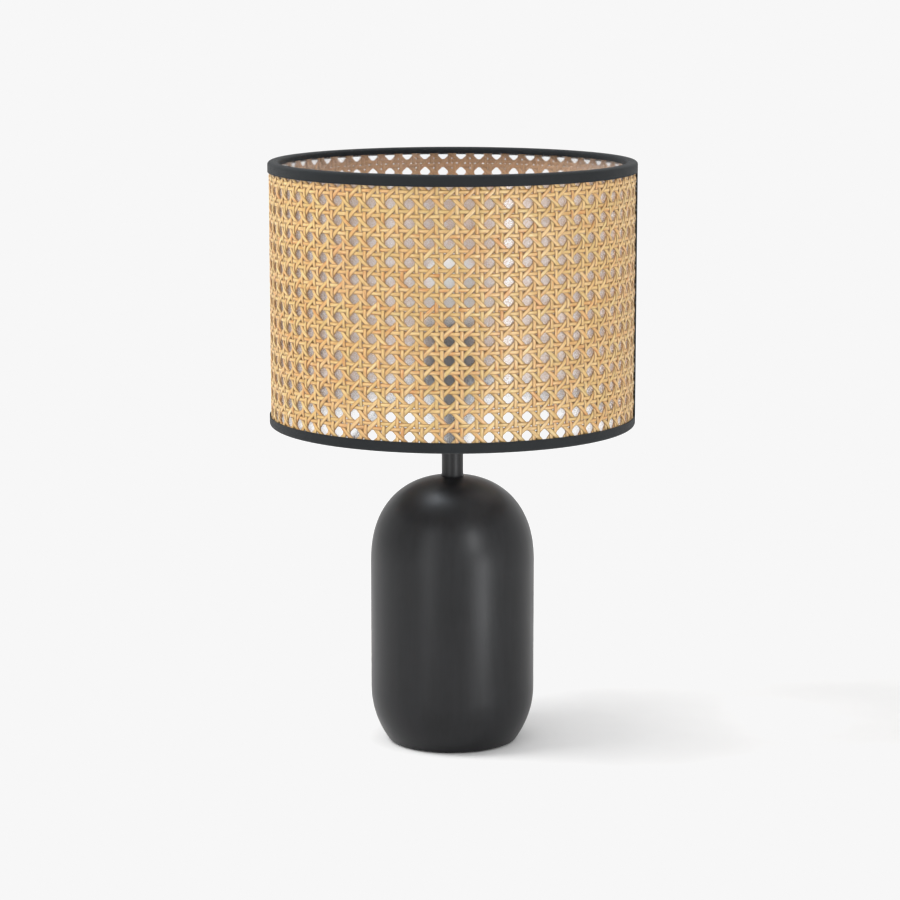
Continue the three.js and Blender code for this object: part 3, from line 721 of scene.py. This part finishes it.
def makeStrands(name, strands):
    # each strand is (columns along it, rows along it, lift, width)
    half = section.shape[0]
    allPoints, allFibre, allPith, faces = [], [], [], []
    offset = 0
    for u, v, lift, width in strands:
        count = len(u)
        tone = rng.uniform()
        phase = rng.uniform(0, tau, 6)
        s, z = u * column, v * cane["row"]
        ds, dz = np.gradient(s), np.gradient(z)
        length = np.hypot(ds, dz)
        ax, az = -dz / length, ds / length
        walked = np.concatenate([[0], np.cumsum(np.hypot(np.diff(s), np.diff(z)))])
        drift = sum(np.sin(walked * tau / wave + phase[k]) for k, wave in enumerate((31.0, 57.0, 140.0))) / 3
        swell = 1 + 0.05 * np.sin(walked * tau / 44.0 + phase[3]) + rng.normal(0, 0.03)
        tilt = 0.05 * np.sin(walked * tau / 38.0 + phase[4])
        rise = lift + 0.04 * np.sin(walked * tau / 25.0 + phase[5])
        push = cane["wander"] * drift
        across = section[None, :, 0] * (width / 2 * swell)[:, None]
        out = section[None, :, 1] * cane["thickness"] + across * tilt[:, None] + rise[:, None]
        sideways = across + push[:, None]
        azimuth = (s[:, None] + sideways * ax[:, None]) / cane["radius"] + math.radians(cane["firstColumn"])
        height = z[:, None] + sideways * az[:, None] + cane["firstRow"]
        # stretched over the drum, the web lies a little askew at the back
        pulled = towardsBack(azimuth)
        held = np.clip(np.minimum(shadeHigh - height, height - shadeLow) / 10, 0, 1)
        azimuth = azimuth - math.radians(cane["backShift"]) * pulled
        height = height + cane["backRise"] * pulled * held
        radius = cane["radius"] + out
        grid = np.stack([radius * np.sin(azimuth), -radius * np.cos(azimuth), height], -1)
        allPoints.append(grid.reshape(-1, 3))
        fibre = np.stack([np.repeat(walked[:, None], half, 1), np.repeat(section[None, :, 0], count, 0),
                          np.full((count, half), tone)], -1)
        allFibre.append(fibre.reshape(-1, 3))
        allPith.append(np.repeat((section[None, :, 1] < -0.3).astype(float), count, 0).ravel())
        index = (np.arange(count * half).reshape(count, half) + offset)
        side = np.stack([index[:-1], index[1:], np.roll(index, -1, 1)[1:], np.roll(index, -1, 1)[:-1]], -1)
        faces += side.reshape(-1, 4).tolist()
        faces += [index[0].tolist(), index[-1][::-1].tolist()]
        offset += count * half
    made = makeObject(name, np.concatenate(allPoints), faces, sharp=180)
    store(made, "fibre", np.concatenate(allFibre))
    store(made, "pith", np.concatenate(allPith))
    clean = bmesh.new()
    clean.from_mesh(made.data)
    bmesh.ops.recalc_face_normals(clean, faces=clean.faces)
    clean.to_mesh(made.data)
    clean.free()
    return settle(made, "shade", "cane", "cane_panel")


lowRow = (shadeLow + cane["edgeInset"] - cane["firstRow"]) / cane["row"]
highRow = (shadeHigh - cane["edgeInset"] - cane["firstRow"]) / cane["row"]
seamColumn = (cane["seam"] - cane["firstColumn"]) / 360 * cane["columns"]


def uprights(side):
    # the left strand of each pair rides high at three quarters of a row, the right one at one quarter
    rows = np.linspace(lowRow, highRow, int((highRow - lowRow) * cane["steps"]))
    lift = cane["lift"] * np.cos(tau * (rows - (0.5 - side * 0.25)))
    for i in range(cane["columns"]):
        columns = np.full(len(rows), i + 0.5 + side * cane["pairOffset"])
        yield columns, rows, lift, np.full(len(rows), cane["width"])


def hoops(side):
    columns = seamColumn + np.linspace(0.02, cane["columns"] - 0.02, cane["columns"] * cane["steps"])
    for j in range(math.ceil(lowRow - 0.5), math.floor(highRow - 0.5) + 1):
        row = j + 0.5 + side * cane["pairOffset"]
        lift = cane["lift"] * np.cos(tau * (columns - (0.5 + side * 0.25)))
        yield columns, np.full(len(columns), row), lift, np.full(len(columns), cane["width"])


def slants(slope):
    # falling ones (slope -1) lie over the uprights, rising ones over the hoops
    for n in range(cane["columns"]):
        rows = np.linspace(lowRow, highRow, int((highRow - lowRow) * cane["steps"]))
        columns = n + 0.5 + slope * rows
        lift = cane["lift"] * np.cos(tau * (columns - (0.5 if slope < 0 else 0.0)))
        yield columns, rows, lift, np.full(len(rows), cane["slantWidth"])


makeStrands("caneUprightLeft", uprights(-1))
makeStrands("caneUprightRight", uprights(1))
makeStrands("caneHoopUpper", hoops(1))
makeStrands("caneHoopLower", hoops(-1))
makeStrands("caneSlantFalling", slants(-1))
makeStrands("caneSlantRising", slants(1))
print("cane woven")


film = {"radius": 122.85, "thickness": 0.25}
binding = {"thickness": 0.55, "proud": 0.8, "foldRadius": 2.4, "outerHeight": 7.6, "innerHeight": 4.3,
           "innerRadius": 118.5, "sides": 480, "backTrim": 2.0}
tape = {"width": 13.0, "thickness": 0.6, "lift": 0.15, "tuck": 0.6, "hump": 0.12}


def makeFilm():
    low, high = shadeLow + cane["edgeInset"], shadeHigh - cane["edgeInset"]
    inner = film["radius"] - film["thickness"]
    heights = np.linspace(low, high, 24)
    profile = [(film["radius"], z) for z in heights] + [(inner, z) for z in heights[::-1]]

    def loose(radius, height, turn):
        sway = waves(turn, 0.05, seed=5) + 0.03 * np.sin(3 * turn + height / 40)
        return radius + sway, height

    settle(turned("filmLiner", profile, 240, loose, sharp=60), "shade", "clear_film", "film_liner")


def makeBinding(name, edge, up, node):
    # a strip folded over the wire and the panel's edge; up is 1 at the top of the shade
    outer = shadeRadius + binding["proud"] - binding["thickness"] / 2
    inner = binding["innerRadius"]
    fold = binding["foldRadius"]
    middle, half = (outer + inner) / 2, (outer - inner) / 2
    line = [(outer, -h) for h in np.linspace(binding["outerHeight"], fold, 7)[:-1]]
    for t in np.linspace(0, math.pi, 19):
        across = math.copysign(abs(math.cos(t)) ** 0.8, math.cos(t))
        line.append((middle + half * across, -fold + (fold - binding["thickness"] / 2) * math.sin(t) ** 0.9))
    line += [(inner, -h) for h in np.linspace(fold, binding["innerHeight"], 5)[1:]]
    line = np.array(line)
    direction = np.gradient(line, axis=0)
    direction /= np.linalg.norm(direction, axis=1)[:, None]
    normal = np.stack([direction[:, 1], -direction[:, 0]], 1) * binding["thickness"] / 2
    loop = np.concatenate([line + normal, (line - normal)[::-1]])
    loop = [(r, edge + up * h) for r, h in loop]
    rows = len(line)

    def puckered(radius, height, turn):
        free = np.clip((abs(height - edge) - fold) / 4, 0, 1)
        dr = waves(turn, 0.05, seed=7 + int(up)) + free * waves(turn, 0.03, (19, 31, 47), seed=3)
        dz = free * waves(turn, 0.10, (5, 11, 23, 41), seed=11 + int(up)) + waves(turn, 0.05, (2, 3), seed=2)
        dz += np.where(radius > middle, up * binding["backTrim"] * free * towardsBack(turn), 0)
        return radius + dr, height + dz

    piece = settle(turned(name, loop, binding["sides"], puckered, sharp=60), "shade", "black_binding", node)


def makeTape():
    low = shadeLow + binding["outerHeight"] - tape["tuck"]
    high = shadeHigh - binding["outerHeight"] + tape["tuck"]
    inner = shadeRadius - 0.1 + tape["lift"]
    heights = np.linspace(low, high, 90)
    half = tape["width"] / 2 / inner
    turns = math.radians(cane["seam"]) + np.linspace(-half, half, 15)
    across = np.linspace(-1, 1, 15)
    hump = tape["hump"] * (1 - across ** 4)
    sway = 0.10 * np.sin(heights / 9.0) + 0.07 * np.sin(heights / 3.7 + 1)
    points, stored = [], []
    for side, lift in ((1, tape["thickness"]), (-1, 0.0)):
        for z, s in zip(heights, sway):
            for turn, bulge, a in zip(turns, hump, across):
                r = inner + lift + (bulge if side > 0 else 0)
                t = turn + (s * a * a * np.sign(a)) / inner
                points.append((r * math.sin(t), -r * math.cos(t), z))
                stored.append((turn * inner, z, turn))
    rows, cols = len(heights), len(turns)
    front = np.arange(rows * cols).reshape(rows, cols)
    back = front + rows * cols
    faces = []
    for k in range(rows - 1):
        for i in range(cols - 1):
            faces.append((front[k, i], front[k, i + 1], front[k + 1, i + 1], front[k + 1, i]))
            faces.append((back[k, i], back[k + 1, i], back[k + 1, i + 1], back[k, i + 1]))
        faces.append((front[k, 0], front[k + 1, 0], back[k + 1, 0], back[k, 0]))
        faces.append((front[k, -1], back[k, -1], back[k + 1, -1], front[k + 1, -1]))
    for i in range(cols - 1):
        faces.append((front[0, i], back[0, i], back[0, i + 1], front[0, i + 1]))
        faces.append((front[-1, i], front[-1, i + 1], back[-1, i + 1], back[-1, i]))
    made = makeObject("seamTape", points, [tuple(int(v) for v in face) for face in faces], sharp=60)
    store(made, "weave", np.array(stored))
    settle(made, "shade", "black_binding", "seam_tape")


makeFilm()
makeBinding("topBinding", shadeHigh, 1, "top_trim")
makeBinding("bottomBinding", shadeLow, -1, "bottom_trim")
makeTape()
print("film, bindings and tape made")


def finishKept():  # the CAD pieces that stay get their finishes
    slots = {row["node"]: row["material_slot"] for row in frame["record"]["subparts"]}
    for name, piece in frame["nodes"].items():
        if piece.hide_render:
            continue
        piece.data.materials.clear()
        piece.data.materials.append(finishes[slots[name]])


finishKept()


stage = {"floorReach": 40.0, "albedo": 0.82, "glow": 0.15, "world": 1.11, "white": 0.93}


def makeFloor():
    f = Finish("pale_floor")
    grain = f.noise(f.place(), 40, 2, 0.5)
    pale = f.ramp(grain, [(0.3, (stage["albedo"] - 0.005,) * 3), (0.7, (stage["albedo"] + 0.005,) * 3)])
    # painted light: the floor glows only away from the lamp, so round the lamp it stays darker, a painted
    # shade
    away = f.node("ShaderNodeVectorMath", {"operation": "LENGTH"}, {0: f.place()}, output=1)
    far = f.fitted(away, 0.25, 1.2)
    glow = f.mixed(far, (0.0, 0.0, 0.0), (stage["glow"],) * 3)
    matte = f.shader(Base_Color=pale, Roughness=1.0, Specular_IOR_Level=0.0, Emission_Color=glow,
                     Emission_Strength=1.0)
    material = f.done(matte)
    reach = stage["floorReach"]
    mesh = bpy.data.meshes.new("floor")
    mesh.from_pydata([(-reach, -reach, 0), (reach, -reach, 0), (reach, reach, 0), (-reach, reach, 0)], [],
                     [(0, 1, 2, 3)])
    mesh.materials.append(material)
    floor = bpy.data.objects.new("floor", mesh)
    bpy.context.scene.collection.objects.link(floor)


def makeLight(name, azimuth, height, distance, size, power, aim=0.2, tint=(1.0, 1.0, 1.0), seen="all"):
    # azimuth is counted from the front towards the right
    data = bpy.data.lights.new(name, "AREA")
    data.shape = "RECTANGLE"
    data.size, data.size_y = size
    data.energy = power
    data.color = tint
    lamp = bpy.data.objects.new(name, data)
    turn = math.radians(azimuth)
    lamp.location = (distance * math.sin(turn), -distance * math.cos(turn), height)
    lamp.rotation_euler = (Vector((0, 0, aim)) - lamp.location).to_track_quat("-Z", "Y").to_euler()
    lamp.visible_camera = False
    lamp.visible_diffuse = seen != "reflections"
    lamp.visible_glossy = seen != "surfaces"
    bpy.context.scene.collection.objects.link(lamp)


def makeWorld():
    world = bpy.data.worlds.new("studio")
    world.use_nodes = True
    background = world.node_tree.nodes["Background"]
    background.inputs["Color"].default_value = (1, 1, 1, 1)
    background.inputs["Strength"].default_value = stage["world"]
    bpy.context.scene.world = world


def setTone():  # the brightest white stays a little below full
    view = bpy.context.scene.view_settings
    view.view_transform = "Standard"
    view.use_curve_mapping = True
    view.curve_mapping.extend = "HORIZONTAL"
    view.curve_mapping.curves[3].points[1].location = (1.0, stage["white"])
    view.curve_mapping.update()


makeFloor()
makeWorld()
makeLight("keyLeft", -77, 1.58, 1.06, (0.7, 0.7), 24, seen="surfaces")
makeLight("fillRight", 52, 0.35, 1.2, (0.7, 0.7), 3, seen="surfaces")
makeLight("overhead", -125, 1.75, 0.45, (0.6, 0.6), 13, tint=(0.86, 0.93, 1.0), seen="reflections")
for name, azimuth, height, size, power in (("stripRight", 30, 0.31, (0.08, 0.20), 0.68),
                                           ("stripLow", 39.5, 0.065, (0.08, 0.14), 0.54),
                                           ("stripLeft", -31, 0.25, (0.09, 0.48), 0.5)):
    makeLight(name, azimuth, height, 0.40, size, power, height, (0.96, 0.98, 1.0), "reflections")
setTone()
print("stage lit")
